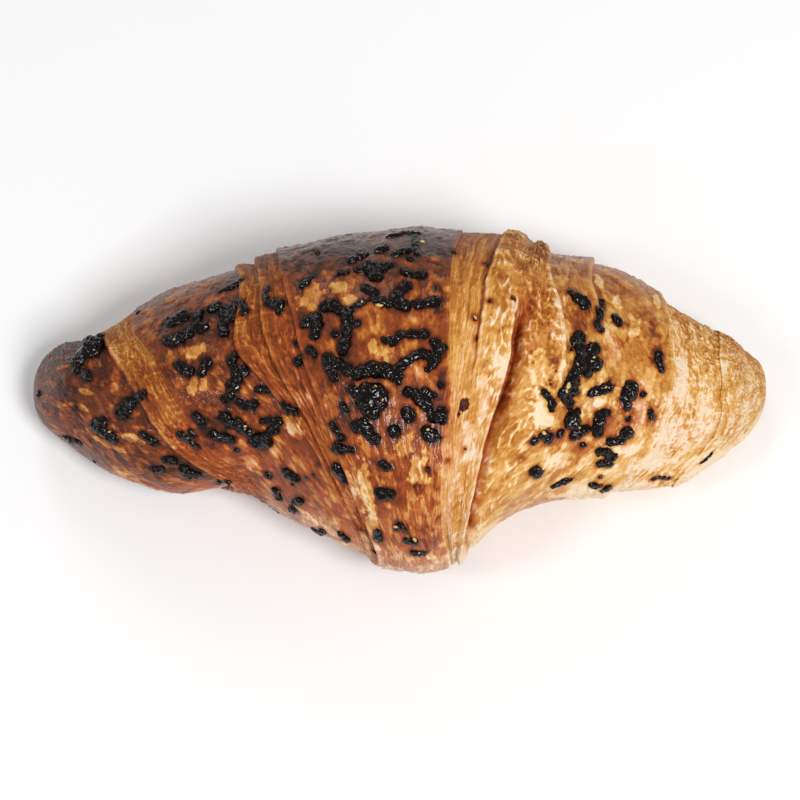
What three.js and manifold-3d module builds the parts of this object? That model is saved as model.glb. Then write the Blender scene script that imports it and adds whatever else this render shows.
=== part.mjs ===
// Praline chocolate croissant: one straight rolled croissant with melted chocolate bits
// baked onto its glazed layers. Millimetres, +Z up, lying on a flat base at Z = 0, with X
// along the roll and the front edge towards -Y.
//
// A place on the roll is given by its distance along X and by an angle in degrees around
// the section: 0 at the front edge, 90 on the crown, 180 at the back edge.

import * as THREE from 'three';
import { mergeVertices } from 'three/addons/utils/BufferGeometryUtils.js';
import Module from 'manifold-3d';

// The roll's outline, every 10 mm from the left tip to the right one
const HALF_LENGTH = 80;
const STATION_GAP = 10;
const FRONT_EDGE = [
  0, -5.8, -13.5, -18.2, -17.8, -18.2, -24.6, -31.7, -34.5,
  -35, -26.5, -21.5, -18.2, -17.2, -14, -7.5, 1,
];
const BACK_EDGE = [
  16.4, 17.2, 19.2, 25.6, 28.6, 31.2, 31.6, 34.3, 35.3,
  35.4, 36.2, 33.8, 31.6, 28.2, 23, 19, 17.3,
];
const CROWN_HEIGHT = [
  13, 23, 29.5, 35, 40.5, 45.5, 50, 53, 54,
  53.5, 51.5, 48, 42.5, 37, 30.5, 23, 11,
];

// The section is widest below half its height, and the flat base cuts it off
const WIDEST_LEVEL = 0.42;
const UNDER_DEPTH = 1.25;
const TIP_START = 72;
const TIP_POWER = 2.6;
const TIP_LIFT = 6;

// Every edge of a dough layer that shows, from the left tip to the right one. run gives its
// place along X at 0, 40, 80, 120 and 160 degrees; before and after say how proud the
// surface is on its left and on its right; rings is the number of rings up to the next edge.
// An ease above 1 makes the surface come up fast after the edge, bulge arches the layer, and
// width is the edge's own, below 0 for an overhang. An edge with full and gone stands at its
// full height beyond the first of these angles, and is flat at the second.
const EDGES = [
  // Left tip
  { run: [-80, -80, -80, -80, -80],
    before: 0, after: 0, rings: 10, bulge: 0.4 },
  // Foot of the outer left layer
  { run: [-34.8, -47, -55.7, -62.2, -64.3],
    before: -1.3, after: 0.1, rings: 2 },
  // Rim of the outer left layer
  { run: [-28, -39.8, -48.7, -56, -55.5],
    before: 0.9, after: 1.3, rings: 6, bulge: 0.5 },
  // Foot of the inner left layer
  { run: [-8.5, -15.8, -32.5, -33, -34.5],
    before: -1.2, after: -0.3, rings: 1, full: 62, gone: 8 },
  // Split in the cut face
  { run: [-6.6, -13.6, -26, -28.8, -30.6],
    before: -1.3, after: 0.2, rings: 1, full: 62, gone: 8 },
  // Rim of the middle layer
  { run: [-4.2, -10.4, -19, -24, -25.6],
    before: 0.6, after: 1.5, rings: 8, bulge: 0.6 },
  // Start of the torn streaks
  { run: [10, 8.2, 9.3, 10.4, 13],
    before: 0.6, after: 0.1, rings: 1 },
  // Left side of the flaky ridge
  { run: [11.3, 11.6, 15.1, 18.9, 23.4],
    before: -0.6, after: 0.8, rings: 2, bulge: 0.6, full: 98, gone: 66 },
  // Crease
  { run: [12.6, 15.7, 22.2, 24.9, 28.6],
    before: 0.9, after: -3.6, rings: 5, ease: 5, width: -0.6, full: 90, gone: 106 },
  // Flap of the right layer
  { run: [18.5, 28.8, 33.3, 31.2, 31],
    before: 0.9, after: -0.6, rings: 2, full: 95, gone: 55 },
  // Second flap at the back
  { run: [34, 42, 44, 40, 41],
    before: 0.8, after: -0.4, rings: 4, full: 120, gone: 85 },
  // Rim of the right layer
  { run: [43.4, 52.9, 56.9, 56.4, 55.2],
    before: 1.1, after: -0.3, rings: 3, bulge: -0.3 },
  // Hoop near the right tip
  { run: [58.8, 66.5, 67.9, 68, 69.2],
    before: -0.3, after: 0.35, rings: 2, bulge: 0.2 },
  // Rim of the last layer
  { run: [70, 73.8, 75.4, 74.4, 73.4],
    before: 0.25, after: -0.35, rings: 6 },
  // Right tip
  { run: [80, 80, 80, 80, 80],
    before: 0, after: 0, rings: 0 },
];
const RUN_STEP = 40;
const RUN_STEPS_ROUND = 9;
const STEP_WIDTH = 0.9;
const TIP_CROWDING = 1.8;

// Slow swells of the dough: height, waves along X and around the roll, and phase
const SWELLS = [
  { height: 0.35, along: 0.16, around: 2, phase: 0.6 },
  { height: 0.3, along: 0.31, around: -3, phase: 2.1 },
  { height: 0.22, along: 0.07, around: 5, phase: 4 },
];

// The relief is full on the visible sides and dies out underneath
const RELIEF_REACH = { full: 15, gone: 60 };

// Columns around the section: most of them above the base's edge
const COLUMNS_ABOVE = 24;
const COLUMNS_BELOW = 4;
const ABOVE_START = -24;
const ABOVE_END = 204;

// Melted chocolate, from the left tip to the right one: the width of each drop or string,
// and its places, each along X and around the section
const CHOCOLATE = [
  // Left tip
  { width: 4.6, at: [[-65, 132], [-65.5, 119]] },
  { width: 3.2, at: [[-67, 118], [-68, 105]] },
  { width: 1.9, at: [[-68.5, 100], [-68.5, 94]] },
  { width: 1.6, at: [[-66.5, 91], [-65.5, 87]] },
  { width: 2.5, at: [[-58, 63], [-57, 65]] },
  { width: 2.3, at: [[-57, 68], [-55.5, 70]] },
  { width: 1.6, at: [[-54.5, 72], [-53, 74]] },
  { width: 2.5, at: [[-64, 45], [-62.5, 51]] },
  { width: 2.1, at: [[-62.5, 44], [-61, 41], [-60, 42]] },
  { width: 1.5, at: [[-72, 8], [-68.5, 15]] },
  { width: 2, at: [[-53, 48], [-51, 44]] },
  { width: 1.6, at: [[-48.5, 31], [-47, 30]] },
  { width: 2.1, at: [[-45, 22], [-44, 18], [-42.5, 16]] },
  { width: 1.5, at: [[-38, 4], [-36, 10]] },
  // Left layers
  { width: 2.5, at: [[-47.5, 111], [-46.5, 110], [-45, 111]] },
  { width: 1.9, at: [[-41.5, 111], [-42, 107]] },
  { width: 2.1, at: [[-41.5, 102], [-40.5, 100]] },
  { width: 2, at: [[-48, 99], [-46.5, 96], [-43.5, 99]] },
  { width: 1.9, at: [[-45.5, 83], [-43, 78]] },
  { width: 1.9, at: [[-39.5, 80], [-40.5, 76]] },
  { width: 1.9, at: [[-39, 112], [-38, 113]] },
  { width: 2, at: [[-36.5, 110], [-36, 105], [-36.5, 100], [-36, 95]] },
  { width: 1.9, at: [[-36, 105], [-34.5, 103], [-34.5, 108], [-33.5, 112]] },
  { width: 1.7, at: [[-32.5, 109], [-32, 104]] },
  { width: 1.6, at: [[-33.5, 80], [-34.5, 77], [-33.5, 72]] },
  { width: 2.5, at: [[-33, 68], [-34, 65]] },
  { width: 1.8, at: [[-35.5, 60], [-34.5, 61]] },
  { width: 1.6, at: [[-32.5, 57], [-31.5, 55], [-29.5, 55]] },
  { width: 2, at: [[-41.5, 55], [-40.5, 51]] },
  { width: 1.8, at: [[-45, 47], [-44, 45]] },
  { width: 1.8, at: [[-38, 44], [-35, 40]] },
  { width: 2.1, at: [[-35.5, 51], [-34.5, 48]] },
  { width: 2.3, at: [[-33, 47], [-31, 42]] },
  { width: 3.2, at: [[-29.5, 39], [-28, 38]] },
  { width: 2.1, at: [[-27, 42], [-25.5, 46]] },
  { width: 1.5, at: [[-28, 48], [-24.5, 50]] },
  { width: 1.9, at: [[-23, 27], [-21, 27]] },
  { width: 1.7, at: [[-25.5, 12], [-25, 8]] },
  { width: 1.7, at: [[-21.5, 12], [-20.5, 15]] },
  { width: 1.7, at: [[-22, 6], [-22, 5]] },
  { width: 1.5, at: [[-27.5, -22], [-26, -22]] },
  { width: 1.8, at: [[-12, 5], [-11, 1]] },
  // Belt, at the back
  { width: 2.1, at: [[-26, 104], [-24.5, 103]] },
  { width: 1.5, at: [[-24.5, 100]] },
  { width: 1.6, at: [[-19.5, 112], [-18, 115]] },
  { width: 1.6, at: [[-10, 123], [-7, 127]] },
  { width: 1.7, at: [[-4.5, 129], [-3, 130]] },
  { width: 1.7, at: [[-1, 126], [1.5, 129]] },
  { width: 1.5, at: [[2, 124]] },
  { width: 2.7, at: [[-6, 119], [-5, 114]] },
  { width: 1.9, at: [[-4, 118], [-2, 120]] },
  { width: 1.8, at: [[1, 117], [2.5, 116], [4.5, 117]] },
  { width: 1.6, at: [[-7, 109], [-5, 107]] },
  { width: 1.8, at: [[-5.5, 104], [-2.5, 103]] },
  { width: 2.1, at: [[-1, 104], [1, 103]] },
  { width: 2, at: [[-1, 106], [1.5, 111]] },
  { width: 1.8, at: [[3, 104], [7, 106]] },
  // Belt, on the crown
  { width: 2.3, at: [[-15, 102], [-13.5, 102], [-12, 100]] },
  { width: 1.9, at: [[-11, 99], [-7.5, 103]] },
  { width: 2.1, at: [[-10.5, 97], [-10.5, 90], [-11.5, 85]] },
  { width: 1.7, at: [[-10, 96], [-8.5, 95]] },
  { width: 2.5, at: [[-18.5, 95], [-17, 97], [-16.5, 94]] },
  { width: 1.9, at: [[-17, 92], [-17, 90]] },
  { width: 1.5, at: [[-18, 84], [-17, 83]] },
  { width: 1.9, at: [[-20.5, 79], [-19.5, 81]] },
  { width: 1.8, at: [[-3, 90], [-1.5, 90]] },
  { width: 1.7, at: [[0, 92], [5, 94]] },
  { width: 2, at: [[7, 91], [8, 89]] },
  { width: 1.8, at: [[-14.5, 82], [-10, 79]] },
  { width: 2.7, at: [[-8.5, 78], [-5, 80]] },
  { width: 2.5, at: [[-3.5, 80], [-1, 79]] },
  { width: 1.5, at: [[-0.5, 77]] },
  { width: 1.9, at: [[0, 82], [3, 86]] },
  { width: 2.1, at: [[4.5, 87], [7, 86]] },
  { width: 1.8, at: [[6.5, 84], [5.5, 82]] },
  { width: 1.6, at: [[-14.5, 79], [-13, 76]] },
  { width: 1.7, at: [[-9.5, 73], [-8.5, 72]] },
  { width: 3.6, at: [[-6.5, 73], [-5, 73]] },
  { width: 1.5, at: [[-3, 73], [-3, 70]] },
  { width: 2.7, at: [[-7.5, 69], [-4, 69]] },
  { width: 2.1, at: [[-6.5, 67], [-5, 66]] },
  { width: 2.5, at: [[-8.5, 61], [-7.5, 62]] },
  { width: 1.9, at: [[-7, 63], [-6, 59], [-5, 58]] },
  { width: 1.7, at: [[1.5, 74], [3, 74]] },
  // Belt, in front of the crown
  { width: 2.1, at: [[3.5, 73], [5.5, 70]] },
  { width: 1.9, at: [[6.5, 67], [8.5, 66], [8.5, 68]] },
  { width: 2.5, at: [[1.5, 67], [2, 66]] },
  { width: 2.3, at: [[-1, 61]] },
  { width: 2.3, at: [[5.5, 62], [6, 61]] },
  { width: 2.5, at: [[-12.5, 52], [-11.5, 52]] },
  { width: 2, at: [[-12.5, 43], [-11, 40]] },
  { width: 1.5, at: [[-3.5, 50], [-2.5, 49]] },
  { width: 2.2, at: [[-4, 40], [-3, 39], [-2, 40]] },
  { width: 1.5, at: [[-4.5, 22], [-4.5, 18]] },
  { width: 1.7, at: [[1.5, 21], [2.5, 21]] },
  { width: 1.9, at: [[3, 14], [4.5, 14]] },
  { width: 2.5, at: [[36.5, 108], [37.5, 106]] },
  // Right wing
  { width: 1.6, at: [[41.5, 111], [41.5, 108]] },
  { width: 1.6, at: [[41, 104], [41, 100]] },
  { width: 1.7, at: [[40.5, 96], [41, 94]] },
  { width: 1.9, at: [[44.5, 104], [45, 102]] },
  { width: 1.6, at: [[53.5, 90], [53, 87]] },
  { width: 1.6, at: [[53.5, 85], [54, 82]] },
  { width: 2.3, at: [[36.5, 87], [36, 85]] },
  { width: 2.5, at: [[36.5, 82], [37, 78], [36, 75]] },
  { width: 2.3, at: [[39, 83], [40, 84]] },
  { width: 2.5, at: [[39, 79], [40, 76]] },
  { width: 2.3, at: [[38, 76], [38, 72]] },
  { width: 2.5, at: [[35.5, 71], [33.5, 64]] },
  { width: 1.9, at: [[32.5, 62], [34.5, 57]] },
  { width: 1.9, at: [[35.5, 66], [35, 63]] },
  { width: 2, at: [[39, 62], [42.5, 66]] },
  { width: 2.7, at: [[47.5, 69], [47, 66]] },
  { width: 1.9, at: [[46, 63], [46.5, 59]] },
  { width: 1.7, at: [[51.5, 58], [52, 56]] },
  { width: 2.1, at: [[46.5, 46], [47, 45]] },
  { width: 1.7, at: [[29, 63], [30.5, 59], [30.5, 56]] },
  { width: 3, at: [[35, 51], [35, 49]] },
  { width: 1.7, at: [[36, 54]] },
  { width: 2.1, at: [[35.5, 42], [38, 45]] },
  { width: 2.3, at: [[29, 45], [30, 43]] },
  { width: 2.3, at: [[41, 52], [40.5, 43]] },
  { width: 1.7, at: [[41.5, 53], [42.5, 54]] },
  { width: 1.8, at: [[43, 39], [45.5, 41]] },
  { width: 1.8, at: [[41, 33], [42.5, 33], [44, 31]] },
  { width: 2, at: [[41.5, 27], [43, 27]] },
  { width: 2.3, at: [[27.5, 28], [28, 26]] },
  { width: 1.5, at: [[32, 13], [35, 16]] },
  { width: 1.5, at: [[40, 12], [41.5, 11]] },
  { width: 1.5, at: [[42.5, 7], [43.5, 10]] },
];
// A faceted drop is larger than the round one that it stands for
const DROP_FULLNESS = 1.2;
const DROP_HEIGHT = 0.45;
const DROP_SPACING = 2.2;
const DROP_OVERLAP = 1.1;
const DROP_VARIATION = 0.16;
const DROP_SEED = 7;

// How far to each side of a drop the crust's slope is taken: mm along X, degrees around
const SLOPE_REACH = 0.8;
const SLOPE_TURN = 3;

// A plain random row: each state is the last one times the step, within the range
const RANDOM_STEP = 16807;
const RANDOM_RANGE = 2147483647;

const SAME_POINT = 1e-4;

const CRUST = { color: 0xb9733c, roughness: 0.45, metalness: 0 };

function smoothstep(from, to, value) {
  const t = THREE.MathUtils.clamp((value - from) / (to - from), 0, 1);
  return t * t * (3 - 2 * t);
}

// Smooth curve through evenly spaced values, at a place counted in steps
function through(values, place, wrap) {
  const last = values.length - 1;
  const pick = (i) => (wrap ? values[(i + values.length) % values.length]
    : values[THREE.MathUtils.clamp(i, 0, last)]);
  const start = wrap ? Math.floor(place) : THREE.MathUtils.clamp(Math.floor(place), 0, last - 1);
  const t = place - start;
  const [a, b, c, d] = [-1, 0, 1, 2].map((i) => pick(start + i));
  const slope = (c - a) * t;
  const bend = (2 * a - 5 * b + 4 * c - d) * t * t;
  const twist = (3 * b - 3 * c + d - a) * t * t * t;
  return b + (slope + bend + twist) / 2;
}

function degrees(angle) {
  return THREE.MathUtils.degToRad(angle);
}

// How far the tips have closed: 1 along the roll, 0 at the very tip
function opening(x) {
  const t = THREE.MathUtils.clamp((Math.abs(x) - TIP_START) / (HALF_LENGTH - TIP_START), 0, 1);
  return (1 - t ** TIP_POWER) ** (1 / TIP_POWER);
}

// The smooth roll at a place, moved outwards by raise
function rollPoint(x, angle, raise) {
  const place = (x + HALF_LENGTH) / STATION_GAP;
  const front = through(FRONT_EDGE, place, false);
  const back = through(BACK_EDGE, place, false);
  const open = opening(x);
  const height = through(CROWN_HEIGHT, place, false) * open;
  const halfWidth = (back - front) / 2 * open;
  const level = height * WIDEST_LEVEL;
  const depth = Math.sin(degrees(angle)) > 0 ? height - level : level * UNDER_DEPTH;
  const out = raise * open;
  const y = (front + back) / 2 - (halfWidth + out) * Math.cos(degrees(angle));
  const z = level + (depth + out) * Math.sin(degrees(angle));
  return new THREE.Vector3(x, y, Math.max(z, 0) + TIP_LIFT * (1 - open));
}

// Where an edge lies at an angle; underneath it runs straight from its back to its front
function edgePlace(edge, angle) {
  const seen = edge.run;
  const under = RUN_STEPS_ROUND - seen.length;
  const lastSeen = seen[seen.length - 1];
  const round = [...seen];
  for (let i = 1; i <= under; i += 1) {
    round.push(THREE.MathUtils.lerp(lastSeen, seen[0], i / (under + 1)));
  }
  const turn = ((angle % 360) + 360) % 360;
  return through(round, turn / RUN_STEP, true);
}

// The levels beside an edge, evened out where the edge fades away
function edgeLevels(edge, angle) {
  const share = edge.full === undefined ? 1 : smoothstep(edge.gone, edge.full, angle);
  const middle = Math.max((edge.before + edge.after) / 2, 0);
  return {
    before: THREE.MathUtils.lerp(middle, edge.before, share),
    after: THREE.MathUtils.lerp(middle, edge.after, share),
  };
}

// How proud a layer is at a share of the way between its two edges
function layerLevel(index, share, angle) {
  const from = edgeLevels(EDGES[index], angle).after;
  const to = edgeLevels(EDGES[index + 1], angle).before;
  const { ease = 1, bulge = 0 } = EDGES[index];
  const risen = 1 - (1 - share) ** ease;
  return THREE.MathUtils.lerp(from, to, risen) + bulge * 4 * share * (1 - share);
}

function swell(x, angle) {
  return SWELLS.reduce((sum, { height, along, around, phase }) => (
    sum + height * Math.sin(along * x + around * degrees(angle) + phase)), 0);
}

function reliefShare(angle) {
  const fromCrown = Math.abs(((angle - 90 + 540) % 360) - 180) - 90;
  return 1 - smoothstep(RELIEF_REACH.full, RELIEF_REACH.gone, fromCrown);
}

function crustPoint(x, angle, level) {
  return rollPoint(x, angle, (level + swell(x, angle)) * reliefShare(angle));
}

// The crust at any place along X, for the chocolate that lies on it
function crustAt(x, angle) {
  const places = EDGES.map((edge) => edgePlace(edge, angle));
  const next = places.findIndex((place, i) => i > 0 && x < place);
  const index = next - 1;
  const share = (x - places[index]) / (places[next] - places[index]);
  return crustPoint(x, angle, layerLevel(index, share, angle));
}

// The rings of the mesh: two at each edge, and evenly spread ones on each layer
function ringList() {
  const rings = [];
  const last = EDGES.length - 1;
  for (let index = 0; index < last; index += 1) {
    const { rings: count, width = STEP_WIDTH } = EDGES[index];
    if (index > 0) {
      rings.push({ index: index - 1, share: 1, shift: -width / 2 });
      rings.push({ index, share: 0, shift: width / 2 });
    }
    for (let i = 1; i <= count; i += 1) {
      const even = i / (count + 1);
      const toTip = index === last - 1 ? 1 - (1 - even) ** TIP_CROWDING : even;
      rings.push({ index, share: index === 0 ? even ** TIP_CROWDING : toTip, shift: 0 });
    }
  }
  return rings;
}

function columnAngle(column) {
  if (column <= COLUMNS_ABOVE) {
    return THREE.MathUtils.lerp(ABOVE_START, ABOVE_END, column / COLUMNS_ABOVE);
  }
  const share = (column - COLUMNS_ABOVE) / COLUMNS_BELOW;
  return THREE.MathUtils.lerp(ABOVE_END, ABOVE_START + 360, share);
}

// A sphere with its poles at the tips, drawn onto the crust ring by ring
function crustGeometry() {
  const rings = ringList();
  const columns = COLUMNS_ABOVE + COLUMNS_BELOW;
  const geometry = new THREE.SphereGeometry(1, columns, rings.length + 1);
  const position = geometry.getAttribute('position');
  for (let row = 0; row <= rings.length + 1; row += 1) {
    for (let column = 0; column <= columns; column += 1) {
      const angle = columnAngle(column % columns);
      const point = row === 0 || row > rings.length
        ? rollPoint(row === 0 ? -HALF_LENGTH : HALF_LENGTH, angle, 0)
        : ringPoint(rings[row - 1], angle);
      position.setXYZ(row * (columns + 1) + column, point.x, point.y, point.z);
    }
  }
  return geometry;
}

function ringPoint(ring, angle) {
  const from = edgePlace(EDGES[ring.index], angle);
  const to = edgePlace(EDGES[ring.index + 1], angle);
  const x = THREE.MathUtils.lerp(from, to, ring.share) + ring.shift;
  return crustPoint(x, angle, layerLevel(ring.index, ring.share, angle));
}

function randomFrom(seed) {
  let state = seed;
  return () => {
    state = (state * RANDOM_STEP) % RANDOM_RANGE;
    return state / RANDOM_RANGE;
  };
}

// One drop: a flattened lump half sunk in the crust, as long as its stretch of the string
function dropGeometry([x, angle], ahead, width, length, random) {
  const vary = () => 1 + DROP_VARIATION * (2 * random() - 1);
  const centre = crustAt(x, angle);
  const along = crustAt(...ahead).sub(centre).normalize();
  const around = crustAt(x, angle + SLOPE_TURN).sub(crustAt(x, angle - SLOPE_TURN));
  const lengthways = crustAt(x + SLOPE_REACH, angle).sub(crustAt(x - SLOPE_REACH, angle));
  const out = new THREE.Vector3().crossVectors(lengthways, around).normalize();
  const side = new THREE.Vector3().crossVectors(out, along).normalize();
  const straight = new THREE.Vector3().crossVectors(side, out);
  const size = width / 2 * DROP_FULLNESS;
  const geometry = new THREE.IcosahedronGeometry(1, 0);
  geometry.scale(length / 2, size * vary(), width * DROP_HEIGHT * vary());
  geometry.applyMatrix4(new THREE.Matrix4().makeBasis(straight, side, out).setPosition(centre));
  return geometry;
}

// The drops of one string, end to end from each of its places to the next
function stringDrops({ width, at }, random) {
  if (at.length === 1) {
    const [x, angle] = at[0];
    return [dropGeometry([x, angle], [x + 1, angle], width, width, random)];
  }
  const drops = [];
  for (let i = 1; i < at.length; i += 1) {
    const [from, to] = [at[i - 1], at[i]];
    const gap = crustAt(...from).distanceTo(crustAt(...to));
    const count = Math.max(1, Math.round(gap / (width * DROP_SPACING)));
    for (let n = 0; n < count; n += 1) {
      const t = (n + 0.5) / count;
      const middle = from.map((value, axis) => THREE.MathUtils.lerp(value, to[axis], t));
      drops.push(dropGeometry(middle, to, width, gap / count + width * DROP_OVERLAP, random));
    }
  }
  return drops;
}

const wasm = await Module();
wasm.setup();

function solidFrom(geometry) {
  geometry.deleteAttribute('normal');
  geometry.deleteAttribute('uv');
  const merged = mergeVertices(geometry, SAME_POINT);
  return new wasm.Manifold(new wasm.Mesh({
    numProp: 3,
    vertProperties: new Float32Array(merged.getAttribute('position').array),
    triVerts: new Uint32Array(merged.index.array),
  }));
}

function geometryFrom(solid) {
  const mesh = solid.getMesh();
  const geometry = new THREE.BufferGeometry();
  geometry.setAttribute('position', new THREE.BufferAttribute(mesh.vertProperties, 3));
  geometry.setIndex(new THREE.BufferAttribute(mesh.triVerts, 1));
  return geometry;
}

// The outer skin alone: a pocket sealed under the drops is filled
function largestShell(solid) {
  return solid.decompose().reduce((best, shell) => (shell.volume() > best.volume() ? shell : best));
}

// The crust with its chocolate, centred over the origin
function croissantGeometry() {
  const random = randomFrom(DROP_SEED);
  let solid = solidFrom(crustGeometry());
  for (const string of CHOCOLATE) {
    for (const drop of stringDrops(string, random)) {
      solid = solid.add(solidFrom(drop));
    }
  }
  const geometry = geometryFrom(largestShell(solid));
  geometry.computeBoundingBox();
  const centre = geometry.boundingBox.getCenter(new THREE.Vector3());
  geometry.translate(-centre.x, -centre.y, -geometry.boundingBox.min.z);
  geometry.computeVertexNormals();
  return geometry;
}

const croissant = new THREE.Mesh(croissantGeometry(), new THREE.MeshStandardMaterial(CRUST));
croissant.name = 'croissant';

const part = new THREE.Group();
part.add(croissant);

export default part;
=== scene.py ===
"""Looks of the praline chocolate croissant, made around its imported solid.

The crust repeats the solid's named values, in millimetres, and adds the fine layers, flakes
and browning. A place on the roll is its distance along X and its angle in degrees around the
section: 0 at the front edge, 90 on the crown, 180 at the back edge.
"""

import itertools
import math

import bmesh
import bpy
import numpy as np
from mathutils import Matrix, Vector
from mathutils.bvhtree import BVHTree


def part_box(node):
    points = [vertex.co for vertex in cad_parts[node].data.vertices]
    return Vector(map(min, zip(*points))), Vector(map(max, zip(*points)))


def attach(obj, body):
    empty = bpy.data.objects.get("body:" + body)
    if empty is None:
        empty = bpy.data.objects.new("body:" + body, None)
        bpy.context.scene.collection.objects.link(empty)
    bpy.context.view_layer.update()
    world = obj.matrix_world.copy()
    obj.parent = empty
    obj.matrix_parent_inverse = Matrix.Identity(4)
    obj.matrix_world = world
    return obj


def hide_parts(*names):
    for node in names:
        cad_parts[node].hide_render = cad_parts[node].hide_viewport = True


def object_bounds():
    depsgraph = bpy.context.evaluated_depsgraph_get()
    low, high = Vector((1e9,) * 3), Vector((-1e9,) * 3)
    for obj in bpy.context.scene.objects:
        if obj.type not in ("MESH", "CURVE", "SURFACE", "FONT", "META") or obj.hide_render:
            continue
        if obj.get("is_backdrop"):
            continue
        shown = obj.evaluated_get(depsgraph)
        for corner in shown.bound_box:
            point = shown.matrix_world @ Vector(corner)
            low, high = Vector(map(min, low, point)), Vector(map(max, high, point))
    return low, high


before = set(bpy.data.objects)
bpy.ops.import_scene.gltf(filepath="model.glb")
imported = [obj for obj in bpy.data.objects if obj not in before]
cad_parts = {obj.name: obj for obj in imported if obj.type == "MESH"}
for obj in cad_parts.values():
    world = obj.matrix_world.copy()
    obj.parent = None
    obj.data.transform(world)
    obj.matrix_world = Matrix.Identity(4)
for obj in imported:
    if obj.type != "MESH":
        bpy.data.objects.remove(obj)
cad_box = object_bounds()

MM = 0.001
NODE = "croissant"

# The roll's outline, every 10 mm from the left tip to the right one
HALF_LENGTH = 80.0
STATION_GAP = 10.0
FRONT_EDGE = [
    0, -5.8, -13.5, -18.2, -17.8, -18.2, -24.6, -31.7, -34.5,
    -35, -26.5, -21.5, -18.2, -17.2, -14, -7.5, 1,
]
BACK_EDGE = [
    16.4, 17.2, 19.2, 25.6, 28.6, 31.2, 31.6, 34.3, 35.3,
    35.4, 36.2, 33.8, 31.6, 28.2, 23, 19, 17.3,
]
CROWN_HEIGHT = [
    13, 23, 29.5, 35, 40.5, 45.5, 50, 53, 54,
    53.5, 51.5, 48, 42.5, 37, 30.5, 23, 11,
]
WIDEST_LEVEL = 0.42
UNDER_DEPTH = 1.25
TIP_START = 72.0
TIP_POWER = 2.6
TIP_LIFT = 6.0
BASE_ROUNDING = 0.8


def new_edge(run, before, after, skin, bake, ruddy, **more):
    """One row of the table of edges."""
    return dict(run=run, before=before, after=after, skin=skin, bake=bake, ruddy=ruddy, **more)


# Every edge of a dough layer, from the left tip to the right one, as in the solid: its x at
# five angles, and how proud the crust is left and right of it. Then the finish of the layer that
# starts there: its skin, and at the front, on the crown and at the back how browned it is, from
# 0 to 1, and how far it is from golden, 0, to ruddy, 1
EDGES = [
    # Left tip
    new_edge([-80, -80, -80, -80, -80], 0, 0, "glazed", (0.70, 0.74, 0.86), (1, 1, 1), bulge=0.4),
    # Foot of the outer left layer
    new_edge([-34.8, -47, -55.7, -62.2, -64.3], -1.3, 0.1, "torn", (0.49, 0.50, 0.39), (0.9, 0.2, 0)),
    # Rim of the outer left layer
    new_edge([-28, -39.8, -48.7, -56, -55.5], 0.9, 1.3, "glazed", (0.51, 0.69, 0.71), (1, 0.9, 0.4),
             bulge=0.5),
    # Foot of the inner left layer
    new_edge([-8.5, -15.8, -32.5, -33, -34.5], -1.2, -0.3, "torn", (0.46, 0.55, 0.55), (1, 0.4, 0),
             full=62, gone=8),
    # Split in the cut face
    new_edge([-6.6, -13.6, -26, -28.8, -30.6], -1.3, 0.2, "torn", (0.50, 0.51, 0.65), (1, 0.6, 0.1),
             full=62, gone=8),
    # Rim of the middle layer
    new_edge([-4.2, -10.4, -19, -24, -25.6], 0.6, 1.5, "glazed", (0.50, 0.57, 0.82), (1, 0.8, 1),
             bulge=0.6),
    # Start of the torn streaks
    new_edge([10, 8.2, 9.3, 10.4, 13], 0.6, 0.1, "streaked", (0.16, 0.26, 0.52), (0.7, 0.1, 0.3)),
    # Left side of the flaky ridge
    new_edge([11.3, 11.6, 15.1, 18.9, 23.4], -0.6, 0.8, "flaky", (0.27, 0.27, 0.34), (0.2, 0, 0),
             bulge=0.6, full=98, gone=66),
    # Crease
    new_edge([12.6, 15.7, 22.2, 24.9, 28.6], 0.9, -3.6, "flaky", (0.25, 0.32, 0.46), (0, 0, 0),
             ease=5, full=90, gone=106),
    # Flap of the right layer
    new_edge([18.5, 28.8, 33.3, 31.2, 31], 0.9, -0.6, "glazed", (0.32, 0.38, 0.48), (0.2, 0, 0),
             full=95, gone=55),
    # Second flap at the back
    new_edge([34, 42, 44, 40, 41], 0.8, -0.4, "glazed", (0.20, 0.33, 0.51), (0.1, 0, 0),
             full=120, gone=85),
    # Rim of the right layer
    new_edge([43.4, 52.9, 56.9, 56.4, 55.2], 1.1, -0.3, "peeled", (0.13, 0.20, 0.33), (0.1, 0, 0),
             bulge=-0.3),
    # Hoop near the right tip
    new_edge([58.8, 66.5, 67.9, 68, 69.2], -0.3, 0.35, "peeled", (0.12, 0.19, 0.36), (0.1, 0, 0),
             bulge=0.2),
    # Rim of the last layer
    new_edge([70, 73.8, 75.4, 74.4, 73.4], 0.25, -0.35, "peeled", (0.18, 0.28, 0.38), (0, 0, 0)),
    # Right tip
    new_edge([80, 80, 80, 80, 80], 0, 0, "peeled", (0.18, 0.28, 0.38), (0, 0, 0)),
]
RUN_STEP = 40.0
RUN_STEPS_ROUND = 9
FRONT_ANGLE = 35.0
BACK_ANGLE = 145.0
SHARP_CHANGE = 0.3
SOFT_CHANGE = 6.0

# Long swells of the crust: height in mm, turn for each mm along X, waves around, and phase
SWELLS = [(0.35, 0.16, 2, 0.6), (0.3, 0.31, -3, 2.1), (0.22, 0.07, 5, 4)]
RELIEF_FULL = 15.0
RELIEF_GONE = 60.0

# Grid of the crust: rows along X, and columns around with how many lie in each span of angle
ROW_GAP = 0.25
COLUMNS = [(-24, -4, 16), (-4, 184, 330), (184, 204, 16), (204, 336, 22)]
TIP_CROWDING = 1.8
MEAN_RADIUS = 30.0
SKINS = ("glazed", "flaky", "torn", "streaked", "peeled")

# The section of a layer's edge: how far towards its low side, in mm, and how high, as a share
LIP = [(-0.6, 1.0), (-0.2, 1.04), (0.05, 1.0), (0.22, 0.82), (0.26, 0.55),
       (0.16, 0.25), (0.2, 0.06), (0.6, 0.0)]
LIP_REACH = 0.6

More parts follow.
